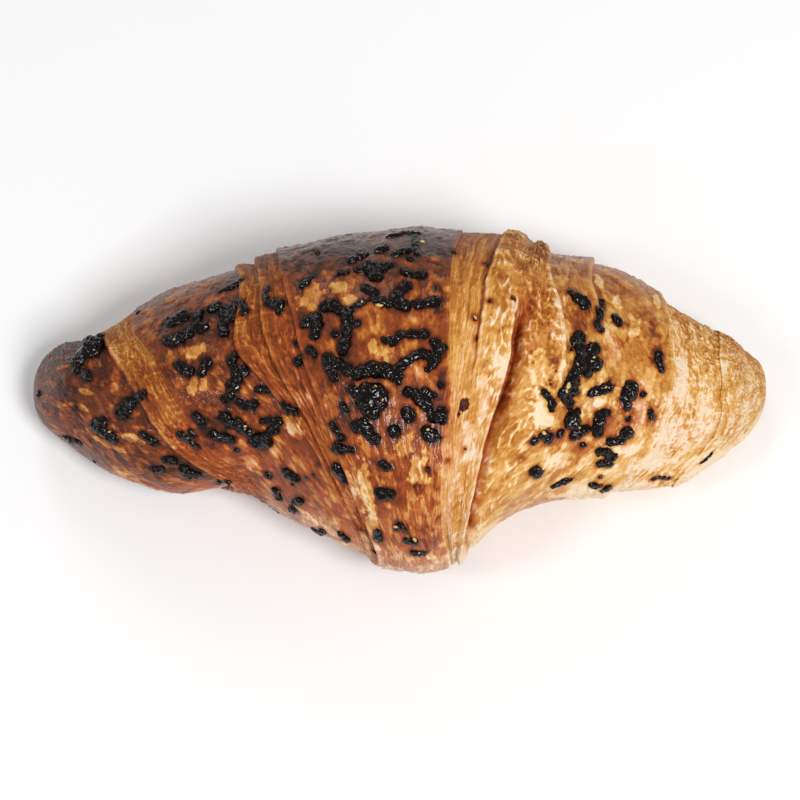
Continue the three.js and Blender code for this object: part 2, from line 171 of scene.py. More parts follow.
# The crust is cut into closed pieces at the feet of these edges
CRUST_PIECES = [
    ("crust_left_tip", 0, 2),
    ("crust_left_layer", 2, 5),
    ("crust_middle", 5, 7),
    ("crust_ridge", 7, 10),
    ("crust_right", 10, 14),
]

# Patches of the skin, each with its place, x and angle, and its half sizes along X and around
# in mm: first the golden ones
GOLD_PATCHES = [
    (-42.1, 89, 2.2, 2), (-42.4, 71, 1, 2.4), (-40, 70, 0.9, 2.2), (-18, 108, 2.6, 4),
    (-12.5, 110, 1.8, 1.6), (-10, 104, 1.6, 1.2), (-5.4, 88, 1.2, 1.4), (-67.9, 58, 2.4, 1.4),
    (-56.1, 46, 4, 1.6), (-61.5, 34, 5, 1.2), (-13.5, 66, 1.6, 2.6), (-6.8, 38, 1.3, 5.5),
    (-5.7, 25, 1.1, 4.5), (1, 57, 2.6, 1.8), (3.9, 49, 2, 3.5), (-3, 89, 1.6, 2.4),
    (-22, 52, 1.8, 2.4), (45.3, 116, 0.9, 2.6), (41.5, 128, 0.9, 3), (54, 130, 0.9, 3.2),
    (29.2, 56, 2.4, 6), (33, 66, 1.5, 5), (40.8, 60, 1.2, 3.4), (48.5, 104, 1, 3.6),
    (-72, 100, 2.2, 1.4), (-66, 74, 1.6, 1.4), (28.3, 73, 2.4, 3.4),
]
# Pale, creamy patches: thin skin, and painted highlights where broad glare falls on the ridge and
# right wing
CREAM_AND_HIGHLIGHT_PATCHES = [
    (28.9, 53, 2, 5), (39.2, 59, 1.9, 3), (49.3, 61, 1.9, 6.9), (55.8, 47, 3, 11),
    (58.7, 77, 1.9, 10), (44.9, 37, 4.7, 2.6), (32.8, 30, 2.5, 2.3), (32.4, 103, 1.1, 3.7),
    (32.3, 88, 1.9, 3.7), (43.5, 88, 1.9, 6.2), (20, 76, 1.3, 2.6), (16.7, 70, 1.1, 5.4),
    (13.9, 55, 1.5, 4.3), (19.4, 92, 1.7, 2), (52.3, 25, 4.2, 4.2), (62.9, 53, 2.5, 10),
    (-59.5, 94, 1.1, 11), (-60.5, 111, 1.3, 4), (3.6, 81, 3.4, 1), (7.1, 76, 1.7, 1.4),
    (-10.1, 31, 1.3, 6), (-21, 49, 2.1, 1.6), (-20.1, 64, 2.1, 1.7), (-30.9, 26, 2.1, 1.9),
    (58.6, 39, 2.5, 5),
]
# Pits that a bit of chocolate has left
PITS = [(12.7, 68, 1.1, 1.4), (22.8, 101, 0.5, 0.8)]
# Ruddy, darker stains; the two at 20.7 and 21.7 mm on the crease floor are painted shade
STAINS_AND_SHADE = [
    (36.8, 98, 2.3, 4.5), (20.7, 60, 1.3, 2.9), (21.7, 67, 1.3, 1.3), (8, 105, 1.3, 1.7),
    (44.9, 94, 1.9, 3.1), (52.9, 98, 1.7, 8), (26.7, 97, 1.1, 1.9), (48.5, 60, 4.5, 6.5),
    (43.5, 45, 3.5, 4), (32, 42, 2, 2.5), (-66, 116, 4.5, 5.5), (-72, 68, 4, 5), (-45, 107, 7, 4),
    (-36.5, 48, 6, 5), (-14, 130, 8, 6), (6, 136, 5, 6), (-11, 71, 4, 7), (8.5, 74, 1.6, 5),
    (-70, 48, 5, 3), (-46.3, 51, 2, 2), (6, 20, 3, 3), (49.7, 103, 2.5, 4),
]

# Melted chocolate: the width of each drop or string, then the x and angle of each of its bends
CHOCOLATE = [
    # Left tip
    (4.6, -65, 132, -65.5, 119), (3.2, -67, 118, -68, 105), (1.9, -68.5, 100, -68.5, 94),
    (1.6, -66.5, 91, -65.5, 87), (2.5, -58, 63, -57, 65), (2.3, -57, 68, -55.5, 70),
    (1.6, -54.5, 72, -53, 74), (2.5, -64, 45, -62.5, 51), (2.1, -62.5, 44, -61, 41, -60, 42),
    (1.5, -72, 8, -68.5, 15), (2, -53, 48, -51, 44), (1.6, -48.5, 31, -47, 30),
    (2.1, -45, 22, -44, 18, -42.5, 16), (1.5, -38, 4, -36, 10),
    # Left layers
    (2.5, -47.5, 111, -46.5, 110, -45, 111), (1.9, -41.5, 111, -42, 107),
    (2.1, -41.5, 102, -40.5, 100), (2, -48, 99, -46.5, 96, -43.5, 99), (1.9, -45.5, 83, -43, 78),
    (1.9, -39.5, 80, -40.5, 76), (1.9, -39, 112, -38, 113),
    (2, -36.5, 110, -36, 105, -36.5, 100, -36, 95),
    (1.9, -36, 105, -34.5, 103, -34.5, 108, -33.5, 112), (1.7, -32.5, 109, -32, 104),
    (1.6, -33.5, 80, -34.5, 77, -33.5, 72), (2.5, -33, 68, -34, 65), (1.8, -35.5, 60, -34.5, 61),
    (1.6, -32.5, 57, -31.5, 55, -29.5, 55), (2, -41.5, 55, -40.5, 51), (1.8, -45, 47, -44, 45),
    (1.8, -38, 44, -35, 40), (2.1, -35.5, 51, -34.5, 48), (2.3, -33, 47, -31, 42),
    (3.2, -29.5, 39, -28, 38), (2.1, -27, 42, -25.5, 46), (1.5, -28, 48, -24.5, 50),
    (1.9, -23, 27, -21, 27), (1.7, -25.5, 12, -25, 8), (1.7, -21.5, 12, -20.5, 15),
    (1.7, -22, 6, -22, 5), (1.5, -27.5, -22, -26, -22), (1.8, -12, 5, -11, 1),
    # Belt, at the back
    (2.1, -26, 104, -24.5, 103), (1.5, -24.5, 100), (1.6, -19.5, 112, -18, 115),
    (1.6, -10, 123, -7, 127), (1.7, -4.5, 129, -3, 130), (1.7, -1, 126, 1.5, 129), (1.5, 2, 124),
    (2.7, -6, 119, -5, 114), (1.9, -4, 118, -2, 120), (1.8, 1, 117, 2.5, 116, 4.5, 117),
    (1.6, -7, 109, -5, 107), (1.8, -5.5, 104, -2.5, 103), (2.1, -1, 104, 1, 103),
    (2, -1, 106, 1.5, 111), (1.8, 3, 104, 7, 106),
    # Belt, on the crown
    (2.3, -15, 102, -13.5, 102, -12, 100), (1.9, -11, 99, -7.5, 103),
    (2.1, -10.5, 97, -10.5, 90, -11.5, 85), (1.7, -10, 96, -8.5, 95),
    (2.5, -18.5, 95, -17, 97, -16.5, 94), (1.9, -17, 92, -17, 90), (1.5, -18, 84, -17, 83),
    (1.9, -20.5, 79, -19.5, 81), (1.8, -3, 90, -1.5, 90), (1.7, 0, 92, 5, 94), (2, 7, 91, 8, 89),
    (1.8, -14.5, 82, -10, 79), (2.7, -8.5, 78, -5, 80), (2.5, -3.5, 80, -1, 79), (1.5, -0.5, 77),
    (1.9, 0, 82, 3, 86), (2.1, 4.5, 87, 7, 86), (1.8, 6.5, 84, 5.5, 82), (1.6, -14.5, 79, -13, 76),
    (1.7, -9.5, 73, -8.5, 72), (3.6, -6.5, 73, -5, 73), (1.5, -3, 73, -3, 70),
    (2.7, -7.5, 69, -4, 69), (2.1, -6.5, 67, -5, 66), (2.5, -8.5, 61, -7.5, 62),
    (1.9, -7, 63, -6, 59, -5, 58), (1.7, 1.5, 74, 3, 74),
    # Belt, in front of the crown
    (2.1, 3.5, 73, 5.5, 70), (1.9, 6.5, 67, 8.5, 66, 8.5, 68), (2.5, 1.5, 67, 2, 66), (2.3, -1, 61),
    (2.3, 5.5, 62, 6, 61), (2.5, -12.5, 52, -11.5, 52), (2, -12.5, 43, -11, 40),
    (1.5, -3.5, 50, -2.5, 49), (2.2, -4, 40, -3, 39, -2, 40), (1.5, -4.5, 22, -4.5, 18),
    (1.7, 1.5, 21, 2.5, 21), (1.9, 3, 14, 4.5, 14),
    # Right wing
    (2.5, 36.5, 108, 37.5, 106), (1.6, 41.5, 111, 41.5, 108), (1.6, 41, 104, 41, 100),
    (1.7, 40.5, 96, 41, 94),
    (1.9, 44.5, 104, 45, 102), (1.6, 53.5, 90, 53, 87), (1.6, 53.5, 85, 54, 82),
    (2.3, 36.5, 87, 36, 85), (2.5, 36.5, 82, 37, 78, 36, 75), (2.3, 39, 83, 40, 84),
    (2.5, 39, 79, 40, 76), (2.3, 38, 76, 38, 72), (2.5, 35.5, 71, 33.5, 64),
    (1.9, 32.5, 62, 34.5, 57), (1.9, 35.5, 66, 35, 63), (2, 39, 62, 42.5, 66),
    (2.7, 47.5, 69, 47, 66), (1.9, 46, 63, 46.5, 59), (1.7, 51.5, 58, 52, 56),
    (2.1, 46.5, 46, 47, 45), (1.7, 29, 63, 30.5, 59, 30.5, 56), (3, 35, 51, 35, 49), (1.7, 36, 54),
    (2.1, 35.5, 42, 38, 45), (2.3, 29, 45, 30, 43), (2.3, 41, 52, 40.5, 43),
    (1.7, 41.5, 53, 42.5, 54), (1.8, 43, 39, 45.5, 41), (1.8, 41, 33, 42.5, 33, 44, 31),
    (2, 41.5, 27, 43, 27), (2.3, 27.5, 28, 28, 26), (1.5, 32, 13, 35, 16), (1.5, 40, 12, 41.5, 11),
    (1.5, 42.5, 7, 43.5, 10),
    # Thin strings that the solid leaves out
    (1.4, -51.5, 24, -50, 24), (1.4, -37.5, 124, -36.5, 125), (1.4, -35, 126, -34, 129, -33, 127),
    (1.4, -31.5, 73, -31.5, 70), (1.3, -29, 62, -26.5, 63), (1.3, -43, 48, -42.5, 46),
    (1.4, -43, 42, -42, 39), (1.2, -23.5, 59, -21, 58, -21, 55), (1.4, -18, -7, -17, -13, -16, -3),
    (1.3, -27, 113, -27.5, 108, -27, 105), (1, -15, 169, -13, 172),
    (1.2, -2.5, 141, 1, 144, 2.5, 143, 4, 145), (1.3, 3, 140, 3.5, 127),
    (1.3, -8.5, 118, -7.5, 119), (1.4, -12, 117, -11, 117), (1.1, -21, 87, -20.5, 86),
    (1.3, -11.5, 67, -10.5, 66), (1.3, 5, 75, 6.5, 74), (1.2, -13.5, 59, -11.5, 56),
    (1.3, -10.5, 53, -9.5, 53), (1.4, -0.5, 26, 0, 28, 1, 26), (1.3, 35, 111, 36, 109),
    (1, 53.5, 7, 55, 8, 57, 5), (1.2, 64, 16, 66, 20),
]
# Small bits that the solid leaves out: a width, then the x and angle of each bit
BITS = [
    (1.7, 32.5, 44),
    (1.5, -78, 66, 27, 43, -27, 20),
    (1.3, -68.5, 56, -13, 91, -33.5, 33, 8, 77, 15, 97, 37.5, 37, -17, 132, 50, 67, 47, 53, 30, 66,
     -19.5, 94, 34.5, 81),
    (1, -55.5, 138, -65.5, -5, -24.5, -21, -5, 3, 17.5, 120, 18, 100, 42.5, 69, 36, 62, 29, 26,
     8, 60, 5.5, 50, 11, 131, 7.5, 111, -10, 53, 41.5, 18, 31.5, 76, 24.5, 36, -22.5, 56),
    (0.6, 15.5, 89, 13, 53, 9.5, 52, 3, 44, -16.5, 39, -17.5, 33, -19, 30, -8, 15, -22, 22,
     31, 72),
]
# Golden crumbs on the chocolate, in the same way
CRUMBS = [
    (1.6, -60.6, 46, 34, 64, -4.2, 102),
    (1.1, -2.6, 121, 4.6, 137, 15.1, 97, 33.6, 62, 29.1, 45, 2.9, 21, -0.9, 26),
    (0.7, -7.6, 103, -3.4, 70, -4.8, 74, 39.5, 78, 5.5, 62, 36.6, 45, -31.5, 44, -46.5, 97,
     42, 65),
]
CRUMB_THICKNESS = 0.45
CRUMB_NARROWNESS = (0.5, 0.8)
CRUMB_UNEVENNESS = (0.75, 1.2)
ABOVE_THE_CRUST = Vector((0, 0, 0.02))

# Drops of chocolate: sizes as shares of a string's width, and depths in mm
DROP_FULLNESS = 1.28
DROP_HEIGHT = 0.36
DROP_SPACING = 0.5
DROP_SCATTER = 0.06
SLOPE_REACH = 0.8
SLOPE_TURN = 3
PEBBLES = 5
PEBBLE_SHARE = (0.22, 0.42)
WRINKLE_DEPTH = 0.15
WRINKLE_SIZE = 1.5
CHOCOLATE_VOXEL = 0.2
CHOCOLATE_FACES = 190000
HALO_WIDTH = 1.6

# Camera: the photograph's view, from 70 degrees above the front
CAMERA_ELEVATION = math.radians(70)
CAMERA_LENS = 110
SENSOR_WIDTH = 36
CAMERA_DISTANCE = 0.517
CAMERA_TARGET = Vector((0, 0, 0.022))

# Soft lamps: place and size in metres, and power in watts
LAMPS = [
    ("key", (0.35, -0.4, 0.8), 0.3, 6.6),
    ("left", (-0.6, -0.25, 0.8), 0.2, 1.6),
    ("back", (-0.2, 0.8, 0.6), 0.4, 1.6),
]
STUDIO_LIGHT = 0.3

# Colours of the crust: how browned it is, then golden and ruddy at that
CRUST_COLOURS = [
    (0.00, (0.90, 0.70, 0.47), (0.88, 0.68, 0.52)),
    (0.12, (0.84, 0.55, 0.27), (0.79, 0.50, 0.31)),
    (0.25, (0.72, 0.38, 0.095), (0.65, 0.30, 0.12)),
    (0.38, (0.57, 0.25, 0.045), (0.52, 0.155, 0.040)),
    (0.50, (0.44, 0.15, 0.022), (0.41, 0.085, 0.014)),
    (0.62, (0.30, 0.073, 0.009), (0.26, 0.050, 0.012)),
    (0.76, (0.16, 0.036, 0.007), (0.135, 0.030, 0.009)),
    (0.90, (0.06, 0.016, 0.007), (0.060, 0.015, 0.006)),
    (1.00, (0.026, 0.009, 0.006), (0.030, 0.009, 0.005)),
]
# Painted sheen for grazing glare at the back, and the mean of the noise behind the fine flakes
PAINTED_SHEEN_COLOUR = (0.24, 0.13, 0.07, 1)
PAINTED_SHEEN_SHARE = 0.36
FLECK_MEAN = 0.24

# Turn between one octave of noise and the next
NOISE_TURN = 0.65


def clamp(value, low=0.0, high=1.0):
    return np.clip(value, low, high)


def smoothstep(start, end, value):
    """0 at the start and 1 at the end, eased between them."""
    t = clamp((value - start) / (end - start))
    return t * t * (3 - 2 * t)


def lerp(a, b, t):
    return a + (b - a) * t


# Noise

def lattice(cells, seed):
    """A repeatable number from 0 to 1 for each whole-number cell."""
    mixed = np.full(cells[0].shape, (seed * 2654435761) % 2**32, np.uint32)
    for cell, factor in zip(cells, (668265263, 2246822519, 3266489917)):
        mixed ^= cell.astype(np.int64).astype(np.uint32) * np.uint32(factor)
        mixed ^= mixed >> np.uint32(15)
        mixed *= np.uint32(2246822519)
        mixed ^= mixed >> np.uint32(13)
    mixed *= np.uint32(3266489917)
    mixed ^= mixed >> np.uint32(16)
    return mixed.astype(np.float64) / 2**32


def noise(coords, seed):
    """Smooth noise from -1 to 1 in as many dimensions as there are coordinates."""
    coords = np.broadcast_arrays(*coords)
    cells = [np.floor(c) for c in coords]
    parts = [c - cell for c, cell in zip(coords, cells)]
    eased = [f * f * f * (f * (f * 6 - 15) + 10) for f in parts]
    total = 0.0
    for corner in itertools.product((0, 1), repeat=len(coords)):
        weight = 1.0
        for bit, e in zip(corner, eased):
            weight = weight * (e if bit else 1 - e)
        total = total + weight * lattice([cell + bit for cell, bit in zip(cells, corner)], seed)
    return 2 * total - 1


def turned(coords):
    """The same coordinates turned, so that no noise lines up with another's cells."""
    coords = list(coords)
    for first, second in itertools.combinations(range(len(coords)), 2):
        a, b = coords[first], coords[second]
        coords[first] = a * math.cos(NOISE_TURN) - b * math.sin(NOISE_TURN)
        coords[second] = a * math.sin(NOISE_TURN) + b * math.cos(NOISE_TURN)
    return coords


def octaves_of(coords, seed, octaves, fade, shaped):
    """Mean of finer and finer noise, each octave shaped, and weaker by the fade."""
    total, strength, share = 0.0, 1.0, 0.0
    for octave in range(octaves):
        coords = turned(coords)
        total = total + strength * shaped(noise([c * 2**octave for c in coords], seed + octave))
        share += strength
        strength *= fade
    return total / share


def fractal(coords, seed, octaves=3):
    """Plain cloudy noise, about -1 to 1."""
    return octaves_of(coords, seed, octaves, 0.5, lambda n: n)


def bent(coords, seed, far, fine):
    """The coordinates pushed about, so that no pattern runs straight."""
    return [c + far * noise([d * fine for d in coords], seed + i)
            for i, c in enumerate(coords)]


def crumpled(coords, seed, octaves=4):
    """Thin crests on an uneven net, as on crumpled foil, from 0 to 1."""
    coords = bent(coords, seed + 20, 0.35, 0.9)
    return octaves_of(coords, seed, octaves, 0.6, lambda n: (1 - np.abs(n)) ** 4)


def crinkled(coords, seed, octaves=4):
    """Sharp crests with finer ones beside them, as on thin crinkled skin, from 0 to 1."""
    weight = 1.0

    def crests(n):
        nonlocal weight
        ridge = (1 - np.abs(n)) ** 2
        shown = ridge * weight
        weight = clamp(1.6 * shown)
        return shown

    coords = bent(coords, seed + 20, 0.4, 0.8)
    return smoothstep(0.15, 0.85, octaves_of(coords, seed, octaves, 0.6, crests))


def flaked(coords, seed, levels):
    """Thin scales that overlap: each swells from 0 and drops at its rim from 1."""
    level = (1 + fractal(bent(coords, seed + 30, 0.3, 1.7), seed, 3)) * levels
    part = level - np.floor(level)
    return part ** 2 * smoothstep(1.0, 0.88, part)


def dots(coords, seed, share):
    """Round dots, one in some cells of a grid, 1 in the middle and 0 at their rims."""
    found = np.zeros(coords[0].shape)
    cells = [np.floor(c) for c in coords]
    for step in itertools.product((-1, 0, 1), repeat=len(coords)):
        near = [cell + s for cell, s in zip(cells, step)]
        middle = [n + 0.2 + 0.6 * lattice(near, seed + i) for i, n in enumerate(near)]
        far = np.sqrt(sum((c - m) ** 2 for c, m in zip(coords, middle)))
        size = 0.2 + 0.25 * lattice(near, seed + 7)
        shown = lattice(near, seed + 8) < share
        found = np.maximum(found, shown * smoothstep(size, 0.0, far))
    return found


# Shape of the roll

def through(values, place, wrap=False):
    """Smooth curve through evenly spaced values, at places counted in steps."""
    values = np.asarray(values, float)
    count = len(values)
    start = np.floor(place).astype(int)
    if not wrap:
        start = np.clip(start, 0, count - 2)
    t = place - start
    around = [start + i for i in (-1, 0, 1, 2)]
    a, b, c, d = (values[i % count if wrap else np.clip(i, 0, count - 1)] for i in around)
    slope = (c - a) * t
    bend = (2 * a - 5 * b + 4 * c - d) * t * t
    twist = (3 * b - 3 * c + d - a) * t * t * t
    return b + (slope + bend + twist) / 2


def opening(x):
    """How far the tips have closed: 1 along the roll, 0 at the very tip."""
    t = clamp((np.abs(x) - TIP_START) / (HALF_LENGTH - TIP_START))
    return clamp(1 - t ** TIP_POWER) ** (1 / TIP_POWER)


def roll_point(x, angle, proud):
    """The smooth roll at a place, moved outwards by proud."""
    x = np.clip(x, -HALF_LENGTH, HALF_LENGTH)
    place = (x + HALF_LENGTH) / STATION_GAP
    front = through(FRONT_EDGE, place)
    back = through(BACK_EDGE, place)
    is_open = opening(x)
    height = through(CROWN_HEIGHT, place) * is_open
    half_width = (back - front) / 2 * is_open
    level = height * WIDEST_LEVEL
    turn = np.radians(angle)
    depth = np.where(np.sin(turn) > 0, height - level, level * UNDER_DEPTH)
    out = proud * is_open
    y = (front + back) / 2 - (half_width + out) * np.cos(turn)
    z = level + (depth + out) * np.sin(turn)
    z = (z + np.sqrt(z * z + BASE_ROUNDING ** 2)) / 2 + TIP_LIFT * (1 - is_open)
    return np.stack(np.broadcast_arrays(x, y, z), -1)


def edge_place(edge, angle):
    """Where an edge lies at an angle; underneath it runs straight from back to front."""
    seen = edge["run"]
    under = RUN_STEPS_ROUND - len(seen)
    hidden = [lerp(seen[-1], seen[0], i / (under + 1)) for i in range(1, under + 1)]
    return through(seen + hidden, np.mod(angle, 360) / RUN_STEP, wrap=True)


def edge_share(edge, angle):
    """1 where an edge is full, 0 where it has faded away."""
    if "full" not in edge:
        return np.ones(np.shape(angle))
    return smoothstep(edge["gone"], edge["full"], angle)


def edge_levels(edge, angle):
    """How proud the crust is left and right of an edge, evened out where the edge fades."""
    share = edge_share(edge, angle)
    middle = max((edge["before"] + edge["after"]) / 2, 0)
    return lerp(middle, edge["before"], share), lerp(middle, edge["after"], share)


def layer_level(index, share, angle):
    """How proud a layer is at a share of the way between its two edges."""
    start = edge_levels(EDGES[index], angle)[1]
    end = edge_levels(EDGES[index + 1], angle)[0]
    risen = 1 - (1 - share) ** EDGES[index].get("ease", 1)
    return lerp(start, end, risen) + EDGES[index].get("bulge", 0) * 4 * share * (1 - share)


def swell(x, angle):
    """How far the long swells move the crust outwards."""
    turn = np.radians(angle)
    return sum(height * np.sin(along * x + around * turn + phase)
               for height, along, around, phase in SWELLS)


def relief_share(angle):
    """1 above, where the relief is full, and 0 underneath, where it has gone."""
    from_crown = np.abs(np.mod(angle - 90 + 540, 360) - 180) - 90
    return 1 - smoothstep(RELIEF_FULL, RELIEF_GONE, from_crown)


def crust_at(x, angle):
    """The crust without its fine relief, for what lies on it."""
    places = [float(edge_place(e, np.array(angle))) for e in EDGES]
    index = max(i for i, place in enumerate(places[:-1]) if x >= place or i == 0)
    share = (x - places[index]) / (places[index + 1] - places[index])
    proud = (layer_level(index, share, angle) + swell(x, angle)) * relief_share(angle)
    return roll_point(np.array(x, float), np.array(angle, float), proud)


# Grid of the crust

def layer_rows(index):
    """Even rows on one layer, closer together towards a tip."""
    start, end = EDGES[index], EDGES[index + 1]
    widest = max(b - a for a, b in zip(start["run"], end["run"]))
    count = max(3, round(widest / ROW_GAP))
    rows = []
    for i in range(1, count):
        even = i / count
        if index == 0:
            even = even ** TIP_CROWDING
        if index == len(EDGES) - 2:
            even = 1 - (1 - even) ** TIP_CROWDING
        rows.append(dict(layer=index, share=even))
    return rows


def is_rising(index):
    return EDGES[index]["after"] > EDGES[index]["before"]


def row_list():
    """All rows from tip to tip, and the row at the foot of each edge."""
    rows, feet = [dict(layer=0, share=0.0)], {0: 0}
    for index in range(len(EDGES) - 1):
        if index > 0:
            lip = [dict(edge=index, towards=t, height=h) for t, h in LIP]
            feet[index] = len(rows) + (0 if is_rising(index) else len(lip) - 1)
            rows += lip[::-1] if is_rising(index) else lip
        rows += layer_rows(index)
    rows.append(dict(layer=len(EDGES) - 2, share=1.0))
    feet[len(EDGES) - 1] = len(rows) - 1
    return rows, feet


def ragged(index, angle):
    """How far a torn edge wanders along X."""
    if index in (0, len(EDGES) - 1):
        return np.zeros(angle.shape)
    turn = np.radians(angle)
    wide = noise([np.cos(turn) * 5 + index * 9.1, np.sin(turn) * 5], 11)
    fine = noise([np.cos(turn) * 19 + index * 5.3, np.sin(turn) * 19], 12)
    return 0.3 * wide + 0.16 * fine


class Crust:
    """Places and finishes over the crust's grid, an array of rows by columns for each."""

    def __init__(self):
        self.rows, self.feet = row_list()
        self.angle = np.concatenate([np.linspace(a, b, n, endpoint=False)
                                     for a, b, n in COLUMNS])
        self.edges = [edge_place(e, self.angle) + ragged(i, self.angle)
                      for i, e in enumerate(EDGES)]
        shape = (len(self.rows), len(self.angle))
        self.x, self.proud, self.along, self.lip, self.foot = np.zeros((5, *shape))
        widths = [np.mean(b["run"]) - np.mean(a["run"]) for a, b in zip(EDGES, EDGES[1:])]
        self.starts = np.concatenate([[0], np.cumsum(widths)])
        for r, row in enumerate(self.rows):
            if "edge" in row:
                self.set_edge_row(r, row)
            else:
                self.set_layer_row(r, row)
        self.arc = np.broadcast_to(np.radians(self.angle) * MEAN_RADIUS, shape)
        self.proud = (self.proud + swell(self.x, self.angle)) * relief_share(self.angle)
        self.place = np.moveaxis(roll_point(self.x, self.angle, self.proud), -1, 0)
        self.passed = [self.passed_edge(i) for i in range(len(EDGES))]

    def reach(self, index, side):
        """How far an edge's lip may reach to one side."""
        if index in (0, len(EDGES) - 1):
            return np.zeros(self.angle.shape)
        first = index - 1 if side < 0 else index
        gap = self.edges[first + 1] - self.edges[first]
        return np.minimum(LIP_REACH, 0.3 * gap)

    def set_edge_row(self, r, row):
        index = row["edge"]
        before, after = edge_levels(EDGES[index], self.angle)
        low, high = (before, after) if is_rising(index) else (after, before)
        towards = -row["towards"] if is_rising(index) else row["towards"]
        self.x[r] = self.edges[index] + towards / LIP_REACH * self.reach(index, towards)
        self.proud[r] = lerp(low, high, row["height"])
        self.along[r] = self.starts[index] + towards
        step = clamp(high - low)
        self.lip[r] = step * smoothstep(0.5, 1.0, row["height"])
        self.foot[r] = step * smoothstep(0.6, 0.0, row["height"])

    def set_layer_row(self, r, row):
        index, share = row["layer"], row["share"]
        start = self.edges[index] + self.reach(index, 1)
        end = self.edges[index + 1] - self.reach(index + 1, -1)
        self.x[r] = lerp(start, end, share)
        self.proud[r] = layer_level(index, share, self.angle)
        self.along[r] = lerp(self.starts[index], self.starts[index + 1], share)

    def passed_edge(self, index):
        """0 left of an edge and 1 right of it; where the edge fades the change is soft."""
        soft = lerp(SOFT_CHANGE, SHARP_CHANGE, edge_share(EDGES[index], self.angle))
        return smoothstep(-soft, soft, self.x - self.edges[index])

    def beside(self, index, near, far):
        """1 right beside an edge on its right, falling to 0 at the far distance."""
        gap = self.x - self.edges[index]
        share = edge_share(EDGES[index], self.angle) * (gap > 0)
        return share * smoothstep(far, near, gap)

    def over_layers(self, values):
        """Spreads one value, or one row of values, for each layer over the grid."""
        total = np.zeros(self.x.shape) + values[0]
        for index in range(1, len(EDGES) - 1):
            total = total + (values[index] - values[index - 1]) * self.passed[index]
        return total

    def skins(self):
        """For each kind of skin, 1 on the layers that have it and 0 elsewhere."""
        return [self.over_layers([float(e["skin"] == name) for e in EDGES]) for name in SKINS]

    def finish(self, key):
        """A finish over the grid, from its values at the front, on the crown and at the back."""
        angle = np.mod(self.angle + 90, 360) - 90
        to_front = smoothstep(90, FRONT_ANGLE, angle)
        to_back = smoothstep(90, BACK_ANGLE, angle)
        under = np.maximum(smoothstep(150, 195, angle), smoothstep(-10, -50, angle))
        values = []
        for front, crown, back in (e[key] for e in EDGES):
            seen = crown + (front - crown) * to_front + (back - crown) * to_back
            values.append(lerp(seen, (front + back) / 2, under))
        return self.over_layers(values)


# Relief and browning of the crust

def ledges(crust, gap, seed):
    """Cut dough layers: thin ledges along the edges, each with its own height, 0 to 1."""
    wander = 0.5 * noise([crust.along / 5, crust.arc / 11], seed)
    wander = wander + 0.25 * noise([crust.along / 1.5, crust.arc / 4], seed + 1)
    place = (crust.along + wander) / gap
    number = np.floor(place)
    part = place - number
    height = 0.5 + 0.5 * noise([number * 3.7, crust.arc / 9], seed + 2)
    broken = smoothstep(-0.5, 0.3, noise([number * 1.9, crust.arc / 3.5], seed + 3))
    return part ** 1.5 * height * broken


def spots(crust, table):
    """1 in the patches of a table, each with an uneven rim, 0 outside them."""
    found = np.zeros(crust.x.shape)
    for x, angle, half_x, half_arc in table:
        near_x = (crust.x - x) / half_x
        near_arc = np.radians(crust.angle - angle) * MEAN_RADIUS / half_arc
        close = (np.abs(near_x) < 2) & (np.abs(near_arc) < 2)
        far = np.hypot(near_x, near_arc)[close] + 0.9 * crust.uneven[close]
        found[close] = np.maximum(found[close], smoothstep(1.1, 0.8, far))
    return found


def halo_of(crust, drops):
    """1 beside the chocolate, falling to 0 further out."""
    halo = np.zeros(crust.x.shape)
    points = np.moveaxis(crust.place, 0, -1)
    for drop in drops:
        reach = drop["radius"] + HALO_WIDTH
        near = np.abs(points[..., 0] - drop["place"][0]) < reach
        distance = np.linalg.norm(points[near] - drop["place"], axis=-1)
        halo[near] = np.maximum(halo[near], smoothstep(reach, drop["radius"] * 0.8, distance))
    return halo


def crest_lines(crust):
    """1 on the crests of the torn skin's fine crinkles, 0 between them."""
    along, arc = crust.along, crust.arc
    upright = crinkled([along / 1.1, arc / 2.6], 163)
    slanted = crinkled([(along + 0.6 * arc) / 1.2, (arc - 0.6 * along) / 2.0], 165)
    patch = smoothstep(-0.25, 0.25, fractal([along / 4, arc / 5], 169, 2))
    broken = smoothstep(-0.5, 0.2, fractal([along / 2, arc / 2.5], 171, 3))
    return lerp(upright, slanted, patch) * broken


def fine_relief(crust):
    """Height of the crust's fine relief, in mm, by skin."""
    along, arc, place = crust.along, crust.arc, crust.place
    sunk = crust.beside(8, 0.5, 4.5)
    grain = fractal([along / 0.6, arc / 0.8], 29, 2)
    wrinkles = fractal([along / 1.5, arc / 3.5], 25, 3)
    folds = crumpled([c / 3.2 for c in place], 71)
    patchy = 0.25 + 0.75 * smoothstep(-0.3, 0.4, fractal([c / 7 for c in place], 77, 2))
    crinkles = patchy * crumpled([along / 1.2, arc / 3.6], 73, 3)
    slanted = crumpled([(along + 0.5 * arc) / 1.3, (arc - 0.5 * along) / 3.0], 75, 3)
    fibres = flaked([along / 1.5, arc / 10], 33, 2)
    threads = flaked([along / 1.1, arc / 14], 35, 2)
    scales = flaked([along / 2.6, arc / 7], 37, 2)
    pimples = dots([place[0] / 1.3, arc / 1.3], 91, 0.5)
    smooth = 0.22 * crust.blisters + 0.2 * wrinkles + 0.3 * crinkles + 0.1 * pimples
    cut = 0.2 * ledges(crust, 2.1, 31) + 0.3 * fibres + 0.25 * crust.crests
    streaks = 0.2 * ledges(crust, 1.5, 51) + 0.28 * threads + 0.2 * crinkles
    flakes = 0.3 * folds + 0.2 * slanted + 0.1 * fibres + 0.5 * crust.crests
    flakes = flakes * (1 - 0.8 * sunk)
    peeled = 0.25 * scales + 0.3 * ledges(crust, 2.4, 61) + 0.35 * crust.crests
    on_glazed, on_flaky, on_torn, on_streaked, on_peeled = crust.skins()
    return (on_glazed * smooth + on_flaky * flakes + on_torn * cut + on_peeled * peeled
            + on_streaked * streaks - 0.7 * crust.pit + 0.12 * crust.gold + 0.06 * grain)


